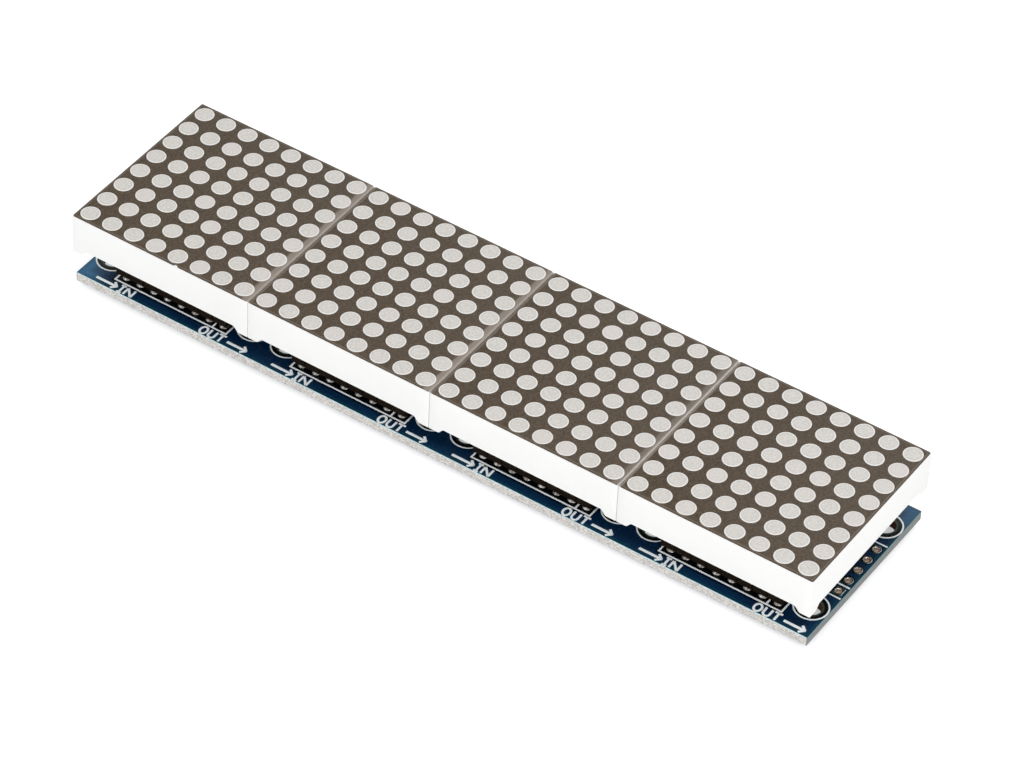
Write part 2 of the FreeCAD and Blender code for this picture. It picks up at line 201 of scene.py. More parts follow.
lacquer = Finish(
    "blue_lacquered_board",
    Base_Color=(0.004, 0.030, 0.080, 1),
    Coat_Weight=0.1,
    Coat_Roughness=0.15,
    Specular_IOR_Level=0.2,
)
x, y, z = lacquer.axes()
across = abs(lacquer.from_centre(x))
outward = abs(y)
from_row = abs(outward - SOCKET_Y)
under_socket = (across < OUTLINE_X - 0.06) * (from_row < OUTLINE_Y - 0.03)
from_mount = lacquer.reach(across - MOUNT_X, outward - MOUNT_Y)
round_mount = from_mount < RING_RADIUS - 0.09
round_pad = (lacquer.from_pad(x, y) < BARE_PAD_RADIUS) * (outward < PADS_END)
no_copper = under_socket.either(round_mount).either(round_pad)
to_rim = BOARD_SIDE - outward.either(abs(x) - (BOARD_END - BOARD_SIDE))
cloud = lacquer.grain(5, 4)
copper_blue = lacquer.blend(cloud, (0.0012, 0.012, 0.038, 1), (0.0050, 0.036, 0.098, 1))
# Painted light: the lacquer is painted a lighter blue at the input end and at the output corner, where light
# reaches the board past the displays.
lit_input_end = lacquer.ease(0 - x, 58.5, 62.5)
lit_output_corner = lacquer.ease(x, 59.5, 63.0) * lacquer.ease(y, 8, 11) * 0.55
copper_blue = lacquer.blend(lit_input_end.either(lit_output_corner), copper_blue, (0.028, 0.135, 0.275, 1))
# Painted light: a lighter teal band is painted along the board's rim, out from under the displays.
lit_rim = (1 - lacquer.ease(to_rim, 0.1, 0.9)) * 0.5
copper_blue = lacquer.blend(lit_rim, copper_blue, (0.009, 0.072, 0.102, 1))
# Painted shade: further in from the rim the lacquer is painted darker, under the displays.
shade_past_rim = lacquer.ease(to_rim, 1.0, 2.1) * 0.5
copper_blue = lacquer.blend(shade_past_rim, copper_blue, (0.0008, 0.008, 0.030, 1))
# Painted shade: a near-black margin is painted round each socket outline, under the socket strip and the
# display above it.
shade_beside_socket = (across < OUTLINE_X + 0.34) * (from_row < OUTLINE_Y + 0.52)
copper_blue = lacquer.blend(shade_beside_socket * 0.80, copper_blue, (0.0012, 0.0030, 0.0080, 1))
skin = lacquer.blend(no_copper, copper_blue, (0.0020, 0.0028, 0.0040, 1))
at_mount = (1 - lacquer.ease(from_mount, 1.70, 1.98)) * 0.9
skin = lacquer.blend(at_mount, skin, (0.050, 0.080, 0.064, 1))
fibres = lacquer.grain(0.24, 3, (0.8, 0.8, 1.2))
flecks = lacquer.ease(fibres, 0.34, 0.66)
cut = lacquer.blend(flecks, (0.46, 0.445, 0.42, 1), (0.78, 0.76, 0.73, 1))
# Painted highlight along the top edge of every cut side: light cyan on the long sides, teal on the ends, and
# tan at the top of the hole walls over the brown below.
top_edge_highlight = lacquer.ease(z, BOARD_TOP - 0.22, BOARD_TOP - 0.06)
cut = lacquer.blend(top_edge_highlight * 0.85, cut, (0.56, 0.82, 0.87, 1))
end_cut = lacquer.blend(fibres, (0.170, 0.185, 0.190, 1), (0.285, 0.295, 0.290, 1))
# Painted light: the end faces are painted paler towards their bottom edge.
low_end_painted_light = (1 - lacquer.ease(z, BOARD_FLOOR, BOARD_FLOOR + 0.5)) * 0.25
end_cut = lacquer.blend(low_end_painted_light, end_cut, (0.36, 0.35, 0.34, 1))
end_cut = lacquer.blend(top_edge_highlight, end_cut, (0.15, 0.29, 0.31, 1))
cut = lacquer.blend(abs(x) > BOARD_END - 0.1, cut, end_cut)
in_hole = (outward < BOARD_SIDE - 0.5) * (abs(x) < BOARD_END - 0.1)
drilled = lacquer.blend(top_edge_highlight, (0.085, 0.030, 0.008, 1), (0.17, 0.16, 0.10, 1))
cut = lacquer.blend(in_hole, cut, drilled)
on_side = (z < BOARD_TOP - EDGE_MARGIN) * (z > BOARD_FLOOR + EDGE_MARGIN)
lacquer.feed("Base Color", lacquer.blend(on_side, skin, cut))
gloss = lacquer.between(lacquer.grain(2.5), 0.20, 0.34)
lacquer.feed("Roughness", gloss * (1 - on_side) + on_side * 0.75)
lacquer.feed("Coat Weight", (1 - on_side) * (1 - no_copper) * 0.1)
peel = lacquer.grain(1.1, 2) * 0.14 + (1 - no_copper) * 0.5
lacquer.relief(peel * (1 - on_side) + fibres * on_side, 0.018)


def refinish(node, finish):
    """Gives a CAD node that stays in view its finish."""
    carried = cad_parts[node]
    carried.data.materials.clear()
    carried.data.materials.append(finish.material)


refinish("driver_board", lacquer)

# Printing on the driver board: bluish white ink, one or two hundredths of a millimetre thick. There is a
# ring round every mounting hole, an outline under every socket strip with a tick between its last two
# pads, an outline round the cable holes, and arrows with IN and OUT along the front edge.
ink_finish = Finish("white_board_ink", Base_Color=(0.80, 0.84, 0.88, 1))
wear = ink_finish.grain(0.7, 4)
ink_finish.feed("Base Color", ink_finish.blend(wear, (0.90, 0.95, 1.0, 1), (0.97, 1.0, 1.0, 1)))
ink_finish.feed("Roughness", ink_finish.between(wear, 0.50, 0.72))
ink_finish.relief(ink_finish.grain(0.15), 0.004)

RING_INK = 0.25
OUTLINE_INK = 0.41
THIN_INK = 0.30
LETTER_INK = 0.37
SHAFT_INK = 0.48
TIP_INK = 0.40
LETTER_LOW = 0.20 - BOARD_SIDE
LETTER_HIGH = 1.74 - BOARD_SIDE
ARROW_Y = 0.95 - BOARD_SIDE
CABLE_OUTLINE = (61.2, 63.55)
PEN_RADIUS = 0.5
INK_FLATNESS = 0.1
ink_lines = []


def draw(points, width, closed=False):
    """One line of ink through points in millimetres on the board's top."""
    ink_lines.append((points, width, closed))


def letter(left, right, strokes, closed=False):
    """One plain letter between two places along the row; strokes are on a unit square."""
    for stroke in strokes:
        points = [(left + (right - left) * u, LETTER_LOW + (LETTER_HIGH - LETTER_LOW) * v) for u, v in stroke]
        draw(points, LETTER_INK, closed)


def arrow(start, tip):
    """A plain arrow along the row."""
    draw([(start, ARROW_Y), (tip - 0.1, ARROW_Y)], SHAFT_INK)
    for side in (-1, 1):
        draw([(tip - 0.80, ARROW_Y + 0.70 * side), (tip, ARROW_Y - 0.05 * side)], TIP_INK)


def turned(centre, radius, first, last, steps):
    """Points on an arc, its ends in degrees."""
    angles = [math.radians(first + (last - first) * i / steps) for i in range(steps + 1)]
    return [(centre[0] + radius * math.cos(a), centre[1] + radius * math.sin(a)) for a in angles]


bowl_turns = [math.pi * i / 6 for i in range(7)]
bowl = [(0.5 - 0.5 * math.cos(a), 0.32 - 0.32 * math.sin(a)) for a in bowl_turns]
oval_turns = [math.pi * i / 8 for i in range(16)]
oval = [(0.5 + 0.5 * math.sin(a), 0.5 + 0.5 * math.cos(a)) for a in oval_turns]
for centre in MODULE_CENTRES:
    for side in (-1, 1):
        for end in (-1, 1):
            ring = turned((centre + MOUNT_X * end, MOUNT_Y * side), RING_RADIUS, 0, 352.5, 47)
            draw(ring, RING_INK, closed=True)
        left, right = centre - OUTLINE_X, centre + OUTLINE_X
        near, far = side * (SOCKET_Y - OUTLINE_Y), side * (SOCKET_Y + OUTLINE_Y)
        draw([(left, near), (right, near), (right, far), (left, far)], OUTLINE_INK, closed=True)
        tick = centre + PIN_PITCH * 3
        draw([(tick, near), (tick, far)], THIN_INK)
    arrow(centre - 12.7, centre - 8.9)
    letter(centre - 8.5, centre - 7.7, [[(0, 0), (1, 0)], [(0.5, 0), (0.5, 1)], [(0, 1), (1, 1)]])
    letter(centre - 7.3, centre - 6.0, [[(0, 0), (0, 1)], [(0, 1), (1, 0)], [(1, 0), (1, 1)]])
    letter(centre + 6.5, centre + 7.6, [oval], closed=True)
    letter(centre + 8.1, centre + 9.1, [[(0, 1)] + bowl + [(1, 1)]])
    letter(centre + 9.5, centre + 10.7, [[(0, 1), (1, 1)], [(0.5, 1), (0.5, 0)]])
    arrow(centre + 11.3, centre + 14.8)
for end in (-1, 1):
    inner, outer = [end * place for place in CABLE_OUTLINE]
    row_end = PIN_PITCH * 2.5
    first_gap = -PIN_PITCH * 1.5
    draw([(outer, row_end), (inner, row_end), (inner, -row_end), (outer, -row_end)], THIN_INK)
    draw([(outer, first_gap), (inner, first_gap)], THIN_INK)

pen = bpy.data.curves.new("pen", "CURVE")
pen.dimensions = "3D"
pen.bevel_depth = PEN_RADIUS * MM
pen.bevel_resolution = 1
pen.use_fill_caps = True
for points, width, closed in ink_lines:
    line = pen.splines.new("POLY")
    line.points.add(len(points) - 1)
    line.use_cyclic_u = closed
    for knot, (px, py) in zip(line.points, points):
        knot.co = (px * MM, py * MM, 0, 1)
        knot.radius = width
drawn = bpy.data.objects.new("pen", pen)
ink_mesh = bpy.data.meshes.new_from_object(drawn)
flatten = Matrix.Scale(INK_FLATNESS, 4, (0, 0, 1))
ink_mesh.transform(Matrix.Translation((0, 0, BOARD_TOP * MM)) @ flatten)
bpy.data.objects.remove(drawn)
inked = bmesh.new()
inked.from_mesh(ink_mesh)


def piece(name, shape, finishes, slot, *nodes, crease=35):
    """Turns a finished shape into a piece that rides on the part and stands for those nodes."""
    bmesh.ops.recalc_face_normals(shape, faces=shape.faces)
    mesh = bpy.data.meshes.new(name)
    shape.to_mesh(mesh)
    shape.free()
    mesh.polygons.foreach_set("use_smooth", [True] * len(mesh.polygons))
    mesh.set_sharp_from_angle(angle=math.radians(crease))
    made = bpy.data.objects.new(name, mesh)
    bpy.context.scene.collection.objects.link(made)
    for finish in finishes:
        mesh.materials.append(finish.material)
    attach(made, "root")
    if nodes:
        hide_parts(*nodes)


piece("board_printing", inked, [ink_finish], "white_housing")

# Cable pads: five tinned eyelets across each end of the board, for a pin header or wires: a flange on
# both faces and a plated wall through the hole. The first one of each row is square.
BORE_REACH = 0.475
BOARD_MIDDLE = 1.8
# Painted light on the cable pads: the flange's tin is painted dark in random patches, painted shade under the
# end display, and the bore is painted nearly white near both faces, a painted highlight, turning darker brown
# towards the middle, painted shade.
pad_tin_painted = Finish("pad_tin_painted_shade_and_highlight", Metallic=1.0, Base_Color=(0.55, 0.53, 0.50, 1))
x, y, z = pad_tin_painted.axes()
bore = pad_tin_painted.from_pad(x, y) < BORE_REACH
depth = pad_tin_painted.ease(abs(z - BOARD_MIDDLE), 0.1, 0.7)
patchy = pad_tin_painted.grain(0.45, 4)
flange = pad_tin_painted.blend(patchy, (0.13, 0.14, 0.14, 1), (0.42, 0.44, 0.44, 1))
plated = pad_tin_painted.blend(depth, (0.46, 0.34, 0.27, 1), (0.98, 0.94, 0.92, 1))
pad_tin_painted.feed("Base Color", pad_tin_painted.blend(bore, flange, plated))
pad_tin_painted.feed("Roughness", pad_tin_painted.between(patchy, 0.16, 0.34))
pad_tin_painted.relief(pad_tin_painted.grain(0.3, 3), 0.02)

HOLE_RADIUS = 0.46
WALL_RADIUS = 0.5
PAD_RADIUS = 0.76
SQUARED_FROM = 0.55


def turn(profile, steps):
    """A closed ring or plug made by turning a profile of (radius, height) in millimetres."""
    shape = bmesh.new()
    knots = [shape.verts.new((radius * MM, 0, height * MM)) for radius, height in profile]
    edges = [shape.edges.new(pair) for pair in zip(knots, knots[1:])]
    bmesh.ops.spin(
        shape,
        geom=knots + edges,
        cent=(0, 0, 0),
        axis=(0, 0, 1),
        angle=math.tau,
        steps=steps,
        use_merge=True,
    )
    bmesh.ops.remove_doubles(shape, verts=shape.verts, dist=0.00001 * MM)
    return shape


def spread(shape, places):
    """Copies of one small shape at every place, in millimetres, as one mesh."""
    single = bpy.data.meshes.new("single")
    shape.to_mesh(single)
    shape.free()
    whole = bmesh.new()
    for place in places:
        start = len(whole.verts)
        whole.from_mesh(single)
        whole.verts.ensure_lookup_table()
        bmesh.ops.translate(whole, verts=whole.verts[start:], vec=Vector(place) * MM)
    bpy.data.meshes.remove(single)
    return whole


def eyelet():
    """The section of a plated hole, turned right round."""
    swell = [(HOLE_RADIUS, -0.05), (0.49, 0.01), (0.56, 0.05), (0.66, 0.05), (0.73, 0.03), (PAD_RADIUS, 0)]
    upper = [(radius, BOARD_TOP + rise) for radius, rise in swell]
    lower = [(radius, BOARD_FLOOR - rise) for radius, rise in swell]
    section = lower + [(WALL_RADIUS, BOARD_FLOOR), (WALL_RADIUS, BOARD_TOP)] + upper[::-1]
    return turn(section + section[:1], 24)


squared = eyelet()
for corner in squared.verts:
    span = math.hypot(corner.co.x, corner.co.y)
    if span > SQUARED_FROM * MM:
        stretch = span / max(abs(corner.co.x), abs(corner.co.y))
        corner.co.x *= stretch
        corner.co.y *= stretch
round_places = [(end * PAD_X, PIN_PITCH * step, 0) for end in (-1, 1) for step in (-1, 0, 1, 2)]
square_places = [(end * PAD_X, -PIN_PITCH * 2, 0) for end in (-1, 1)]
piece("round_cable_pads", spread(eyelet(), round_places), [pad_tin_painted], "tinned_metal", crease=60)
piece("square_cable_pads", spread(squared, square_places), [pad_tin_painted], "tinned_metal", crease=60)

# Driver chips: a wide moulded package under each display, widest at its parting line, with a small round
# mark sunk at its first lead. It is moulded in filled black resin and has a fine dull grain.
MARK_X = 6.6
MARK_Y = 2.6
MARK_RADIUS = 0.55
CHIP_DRAFT = 0.25
chip_resin = Finish("black_chip_resin", Base_Color=(0.016, 0.016, 0.017, 1))
x, y = chip_resin.axes()[:2]
speck = chip_resin.grain(0.12, 4)
chip_resin.feed("Base Color", chip_resin.blend(speck, (0.010, 0.010, 0.011, 1), (0.026, 0.026, 0.027, 1)))
mark = chip_resin.reach(chip_resin.from_centre(x) + MARK_X, y + MARK_Y) < MARK_RADIUS
chip_resin.feed("Roughness", chip_resin.between(speck, 0.50, 0.68) - mark * 0.25)
chip_resin.relief(speck * 0.2 - mark, 0.04)


def block(low, high):
    """A plain block between two corners in millimetres, for the operators to shape."""
    shape = bmesh.new()
    bmesh.ops.create_cube(shape, size=1)
    low, high = Vector(low), Vector(high)
    size = high - low
    bmesh.ops.scale(shape, verts=shape.verts, vec=size * MM)
    bmesh.ops.translate(shape, verts=shape.verts, vec=(low + high) / 2 * MM)
    return shape


def soften(shape, edges, width, segments=2):
    """Rounds those edges by that many millimetres."""
    bmesh.ops.bevel(
        shape,
        geom=edges,
        offset=width * MM,
        affect="EDGES",
        segments=segments,
        profile=0.5,
        material=-1,
        clamp_overlap=True,
    )


def score(shape, point, normal):
    """Cuts new edges all round the shape where a plane goes through it. The point is in metres."""
    everything = shape.verts[:] + shape.edges[:] + shape.faces[:]
    bmesh.ops.bisect_plane(shape, geom=everything, plane_co=point, plane_no=normal)


for number, centre in enumerate(MODULE_CENTRES, 1):
    low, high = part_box(f"driver_chip_{number}")
    package = block(low / MM, high / MM)
    middle = (low.z + high.z) / 2
    score(package, (0, 0, middle), (0, 0, 1))
    for corner in package.verts:
        if abs(corner.co.z - middle) > 0.1 * MM:
            corner.co.x += math.copysign(CHIP_DRAFT * MM, centre * MM - corner.co.x)
            corner.co.y -= math.copysign(CHIP_DRAFT * MM, corner.co.y)
    soften(package, package.edges[:], 0.06)
    piece(f"moulded_chip_{number}", package, [chip_resin], "black_plastic", f"driver_chip_{number}")

# Chip leads: twelve tinned leads on each long side of a chip. Each leaves the package level, bends down
# and ends in a flat toe on the board.
tin = Finish("tinned_metal", Metallic=1.0, Base_Color=(0.60, 0.59, 0.57, 1))
dull = tin.grain(0.6, 4)
tin.feed("Base Color", tin.blend(dull, (0.50, 0.48, 0.45, 1), (0.70, 0.69, 0.67, 1)))
tin.feed("Roughness", tin.between(dull, 0.24, 0.46))
tin.relief(tin.grain(0.25, 3), 0.006)

LEAD_WIDTH = 0.42
LEAD_THICKNESS = 0.2
LEAD_BEND = 0.16
LEAD_PITCH = 1.27
lead_path = [(3.70, 3.95), (4.10, 3.95), (4.42, 2.76), (5.12, 2.70)]
lead = bmesh.new()
knots = [lead.verts.new((-LEAD_WIDTH / 2 * MM, py * MM, pz * MM)) for py, pz in lead_path]
edges = [lead.edges.new(pair) for pair in zip(knots, knots[1:])]
ribbon = bmesh.ops.extrude_edge_only(lead, edges=edges)
moved = [item for item in ribbon["geom"] if isinstance(item, bmesh.types.BMVert)]
bmesh.ops.translate(lead, verts=moved, vec=(LEAD_WIDTH * MM, 0, 0))
bends = [edge for edge in lead.edges if len(edge.link_faces) == 2]
soften(lead, bends, LEAD_BEND)
bmesh.ops.recalc_face_normals(lead, faces=lead.faces)
bmesh.ops.solidify(lead, geom=lead.faces[:], thickness=LEAD_THICKNESS * MM)
opposite = lead.copy()
half_turn = Matrix.Rotation(math.pi, 3, "Z")
bmesh.ops.rotate(opposite, verts=opposite.verts, cent=(0, 0, 0), matrix=half_turn)
halves = bpy.data.meshes.new("lead_pair")
opposite.to_mesh(halves)
opposite.free()
lead.from_mesh(halves)
bpy.data.meshes.remove(halves)
pair_mesh = bpy.data.meshes.new("lead_pair")
lead.to_mesh(pair_mesh)
lead.free()
for number, centre in enumerate(MODULE_CENTRES, 1):
    pair = bmesh.new()
    pair.from_mesh(pair_mesh)
    row = spread(pair, [(centre + LEAD_PITCH * (step - 5.5), 0, 0) for step in range(12)])
    piece(f"bent_leads_{number}", row, [tin], "tinned_metal", f"chip_leads_{number}")
bpy.data.meshes.remove(pair_mesh)

# Capacitors and resistors: small blocks beside every chip: two tan ceramic capacitors and one flat black
# resistor, each with tinned caps over both ends.
ceramic = Finish("tan_capacitor_ceramic", Base_Color=(0.42, 0.29, 0.17, 1))
fired = ceramic.grain(0.35, 4)
ceramic.feed("Base Color", ceramic.blend(fired, (0.34, 0.22, 0.12, 1), (0.50, 0.36, 0.22, 1)))
ceramic.feed("Roughness", ceramic.between(fired, 0.38, 0.58))
ceramic.relief(ceramic.grain(0.1), 0.006)
glaze = Finish("black_resistor_coat", Base_Color=(0.015, 0.015, 0.016, 1))
coat = glaze.grain(0.3, 4)
glaze.feed("Base Color", glaze.blend(coat, (0.010, 0.010, 0.011, 1), (0.030, 0.030, 0.032, 1)))
glaze.feed("Roughness", glaze.between(coat, 0.35, 0.60))
glaze.relief(glaze.grain(0.1), 0.006)

CAP_STEP = 0.03
SAME_PLACE = 1e-7


def capped(name, node, middle, size, cap, body_finish, slot):
    """One small component on each display's part of the board, as one group."""
    width, length, height = size
    body_end = length / 2 - cap
    shape = block((-width / 2, -length / 2, 0), (width / 2, length / 2, height))
    for level in (-length / 2 + cap, length / 2 - cap):
        score(shape, (0, level * MM, 0), (0, 1, 0))
    soften(shape, [edge for edge in shape.edges if edge.calc_face_angle() > 0.5], 0.07)
    body_faces = [face for face in shape.faces if abs(face.calc_center_median().y) < body_end * MM]
    bmesh.ops.inset_region(shape, faces=body_faces, thickness=CAP_STEP * MM, depth=-CAP_STEP * MM)
    for face in shape.faces:
        inner = all(abs(corner.co.y) < body_end * MM + SAME_PLACE for corner in face.verts)
        face.material_index = 0 if inner else 1
    places = [(centre + middle[0], middle[1], BOARD_TOP) for centre in MODULE_CENTRES]
    piece(name, spread(shape, places), [body_finish, tin], slot, node)


bulk_size = (1.6, 3.2, 1.6)
bypass_size = (1.25, 2.0, 0.9)
resistor_size = (1.25, 2.0, 0.5)
capped("bulk_capacitor_blocks", "bulk_capacitors", (-11, 5), bulk_size, 0.5, ceramic, "capacitor_ceramic")
capped(
    "bypass_capacitor_blocks", "bypass_capacitors", (-11, -5), bypass_size, 0.4, ceramic, "capacitor_ceramic"
)
capped("resistor_blocks", "resistors", (11, 5), resistor_size, 0.35, glaze, "resistor_black")

# Contacts: turned tinned contacts, eight under each socket strip. They narrow from the strip down to
# the board, where a thin collar of solder holds each one. They mirror little, and their tin is painted dark
# grey with random mottles, painted shade under the displays.
shaded_contact_tin = Finish("contact_tin_painted_shade", Metallic=0.85, Base_Color=(0.24, 0.23, 0.22, 1))
drawn_marks = shaded_contact_tin.grain(0.5, 3)
mottling = shaded_contact_tin.ease(drawn_marks, 0.35, 0.65)
shaded_contact_tin.feed("Base Color", shaded_contact_tin.blend(mottling, (0.13, 0.11, 0.09, 1), (0.33, 0.325, 0.315, 1)))
shaded_contact_tin.feed("Roughness", shaded_contact_tin.between(drawn_marks, 0.34, 0.48))
shaded_contact_tin.relief(drawn_marks, 0.006)
collar_profile = [(0, 2.6), (0.72, 2.6), (0.65, 2.71), (0.44, 2.86)]
shoulder_profile = [(0.32, 3.0), (0.60, 3.4), (0.64, 3.6), (0, 3.6)]
PIN_ROW = [PIN_PITCH * (step - 3.5) for step in range(8)]
for number, centre in enumerate(MODULE_CENTRES, 1):
    places = [(centre + step, side * SOCKET_Y, 0) for side in (-1, 1) for step in PIN_ROW]
    contacts = spread(turn(collar_profile + shoulder_profile, 12), places)
    piece(f"turned_contacts_{number}", contacts, [shaded_contact_tin], "tinned_metal", f"contacts_{number}", crease=50)

# Solder joints: bright solder under the board, one joint for each contact: it rises in a hollow cone from
# the cut end of the contact's tail, on which the part stands, to the pad.
bright = Finish("smooth_solder", Metallic=1.0, Base_Color=(0.62, 0.62, 0.61, 1))
flow = bright.grain(0.9, 3)
bright.feed("Base Color", bright.blend(flow, (0.50, 0.50, 0.49, 1), (0.74, 0.74, 0.73, 1)))
bright.feed("Roughness", bright.between(flow, 0.14, 0.34))
bright.relief(bright.grain(0.5, 2), 0.012)
tail_profile = [(0, 0), (0.22, 0), (0.25, 0.16), (0.30, 0.36)]
cone_profile = [(0.42, 0.66), (0.62, 0.90), (0.80, 1.0), (0, 1.0)]
for number, centre in enumerate(MODULE_CENTRES, 1):
    for side, name in ((-1, "front"), (1, "rear")):
        places = [(centre + step, side * SOCKET_Y, 0) for step in PIN_ROW]
        joints = spread(turn(tail_profile + cone_profile, 14), places)
        piece(f"{name}_joints_{number}", joints, [bright], "solder", f"{name}_solder_{number}", crease=50)

# Socket strips: two black moulded bars under each display, notched between their eight contacts where a
# longer strip is snapped to length.
NOTCH_HALF = 0.22
NOTCH_WAIST = 0.84
moulded_black = Finish("moulded_black", Base_Color=(0.006, 0.0045, 0.003, 1), Specular_IOR_Level=0.06)
matte = moulded_black.grain(0.3, 4)
blackness = moulded_black.blend(matte, (0.004, 0.0024, 0.0014, 1), (0.014, 0.0080, 0.0040, 1))
moulded_black.feed("Base Color", blackness)
moulded_black.feed("Roughness", moulded_black.between(matte, 0.50, 0.70))
moulded_black.relief(matte, 0.01)
for number, centre in enumerate(MODULE_CENTRES, 1):
    for side in ("front", "rear"):
        low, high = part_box(f"{side}_socket_{number}")
        bar = block(low / MM, high / MM)
        soften(bar, bar.edges[:], 0.12, 1)
        middle = (low.y + high.y) / 2
        for step in PIN_ROW[:-1]:
            notch = (centre + step + PIN_PITCH / 2) * MM
            for offset in (-NOTCH_HALF * MM, 0, NOTCH_HALF * MM):
                score(bar, (notch + offset, 0, 0), (1, 0, 0))
            for corner in bar.verts:
                if abs(corner.co.x - notch) < 0.01 * MM:
                    corner.co.y = middle + (corner.co.y - middle) * NOTCH_WAIST
        piece(f"{side}_strip_{number}", bar, [moulded_black], "black_plastic", f"{side}_socket_{number}")

# Display pins: sixteen straight tinned pins under each display, in two rows of eight, from its back
# board down into the socket strips.
for number in range(1, 5):
    refinish(f"display_pins_{number}", tin)

# Back boards: a small sheet of bare glass-fibre laminate that closes each housing from below and carries
# the pins, level with the housing's lower edge.
laminate = Finish("glass_fibre_laminate", Base_Color=(0.55, 0.54, 0.36, 1))
weave = laminate.grain(0.55, 4, (1, 0.35, 1)).either(laminate.grain(0.55, 4, (0.35, 1, 1)))
threads = laminate.ease(weave, 0.45, 0.75)
laminate.feed("Base Color", laminate.blend(threads, (0.42, 0.42, 0.25, 1), (0.62, 0.61, 0.43, 1)))
laminate.feed("Roughness", laminate.between(weave, 0.35, 0.55))
laminate.relief(weave, 0.012)
for number in range(1, 5):
    refinish(f"back_board_{number}", laminate)

# Display housings: one white moulding for each display, with flat walls and slightly rounded edges.
# Close to where two of them meet, the top of each is painted darker and warmer, as painted shade in the
# narrow gap. The walls reach lower in a short foot at each corner, whose inner ends curve up to the wall's
# edge.
SEAMS_END = PITCH + 2
SEAM_WIDTH = 0.25
SEAM_SIDE = 15.8
SEAM_FLOOR = 13.4
white = Finish("white_moulded_plastic", Base_Color=(0.88, 0.88, 0.87, 1))
x, y, z = white.axes()
tone = white.grain(14, 3)
moulded = white.blend(tone, (0.855, 0.855, 0.845, 1), (0.90, 0.90, 0.895, 1))
from_seam = abs((x + PITCH / 2) % PITCH - PITCH / 2)
# Painted shade: the housing's top is painted darker and warmer close to each seam, less so at the third.
seam_shade = (from_seam < SEAM_WIDTH) * (abs(x) < SEAMS_END) * (abs(y) < SEAM_SIDE) * (z > SEAM_FLOOR)
seam_shade_tone = white.blend(x > PITCH / 2, (0.52, 0.47, 0.42, 1), (0.70, 0.67, 0.64, 1))
white.feed("Base Color", white.blend(seam_shade, moulded, seam_shade_tone))
sheen = white.grain(0.5, 3)
white.feed("Roughness", white.between(sheen, 0.36, 0.50))
white.relief(sheen, 0.008)
WALL = 1.2
FOOT_TOE = 14.4
FOOT_ROOT = 13.35
FOOT_DROP = 0.9
curve_steps = [FOOT_TOE + (FOOT_ROOT - FOOT_TOE) * i / 6 for i in range(7)]


def top_rim(shape, top):
    """The edges of a shape that lie on its top face's outline."""
    level = [edge for edge in shape.edges if all(corner.co.z > top - 0.001 * MM for corner in edge.verts)]
    return [edge for edge in level if any(abs(face.normal.z) < 0.5 for face in edge.link_faces)]


for number, centre in enumerate(MODULE_CENTRES, 1):
    low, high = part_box(f"housing_{number}")
    shell = block(low / MM, high / MM)
    upright = [edge for edge in shell.edges if abs(edge.verts[0].co.z - edge.verts[1].co.z) > MM]
    soften(shell, upright, 0.07, 2)
    under = [face for face in shell.faces if face.normal.z < -0.9]
    bmesh.ops.inset_region(shell, faces=under, thickness=WALL * MM, use_even_offset=True)
    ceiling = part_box(f"back_board_{number}")[1].z
    well = bmesh.ops.extrude_face_region(shell, geom=under)
    raised = [item for item in well["geom"] if isinstance(item, bmesh.types.BMVert)]
    bmesh.ops.translate(shell, verts=raised, vec=(0, 0, ceiling - low.z))
    bmesh.ops.delete(shell, geom=under, context="FACES_ONLY")
    for step in curve_steps:
        for sign in (-1, 1):
            score(shell, (centre * MM + sign * step * MM, 0, 0), (1, 0, 0))
    for step in curve_steps:
        for sign in (-1, 1):
            score(shell, (0, sign * step * MM, 0), (0, 1, 0))
    for corner in shell.verts:
        if corner.co.z < low.z + 0.01 * MM:
            along = min(abs(corner.co.x / MM - centre), abs(corner.co.y / MM))
            rise = min(max((FOOT_TOE - along) / (FOOT_TOE - FOOT_ROOT), 0), 1)
            corner.co.z += FOOT_DROP * MM * rise * rise * (3 - 2 * rise)
    soften(shell, top_rim(shell, high.z), 0.12)
    piece(f"moulded_housing_{number}", shell, [white], "white_housing", f"housing_{number}")

# Printed faces: a satin dark warm grey layer on each display. Its rim carries a painted highlight, a paler
# line just inside the edge, and it is chipped in one place. Next to a neighbour on its right it has a
# glossier band painted pale, a painted sheen, and right beside each seam it is painted paler still.
FACE_SIDE = 15.95
CHIP_AT = (45.0, 15.85)
CHIP_REACH = 0.12
CHIP_SQUEEZE = 0.4
dark = Finish("satin_dark_print", Base_Color=(0.088, 0.066, 0.046, 1), Specular_IOR_Level=0.22)
x, y = dark.axes()[:2]
to_edge = FACE_SIDE - abs(dark.from_centre(x)).either(abs(y))
mottle = dark.grain(0.30, 2)
cloudy = dark.grain(11, 3)
speckled = dark.ease(mottle, 0.3, 0.7) * 0.75 + cloudy * 0.25
base = dark.blend(speckled, (0.046, 0.030, 0.016, 1), (0.104, 0.078, 0.054, 1))
# Painted highlight: a paler line just inside the rim.
rim_highlight = dark.ease(to_edge, 0.18, 0.30) * (1 - dark.ease(to_edge, 0.38, 0.52))
base = dark.blend(rim_highlight * (dark.grain(3, 3) * 0.5 + 0.1), base, (0.24, 0.205, 0.17, 1))
to_seam = (0 - x) % PITCH
past_seam = x % PITCH
by_seams = abs(x) < SEAMS_END
third_seam = x > PITCH / 2
fray = dark.grain(4, 3) * 0.8
# Painted sheen: a pale band left of each seam, which is also made glossier.
sheen_band = (1 - dark.ease(to_seam - fray, 0.40, 1.00)) * by_seams * (1 - third_seam * 0.45)
base = dark.blend(sheen_band * 0.65, base, (0.31, 0.265, 0.225, 1))
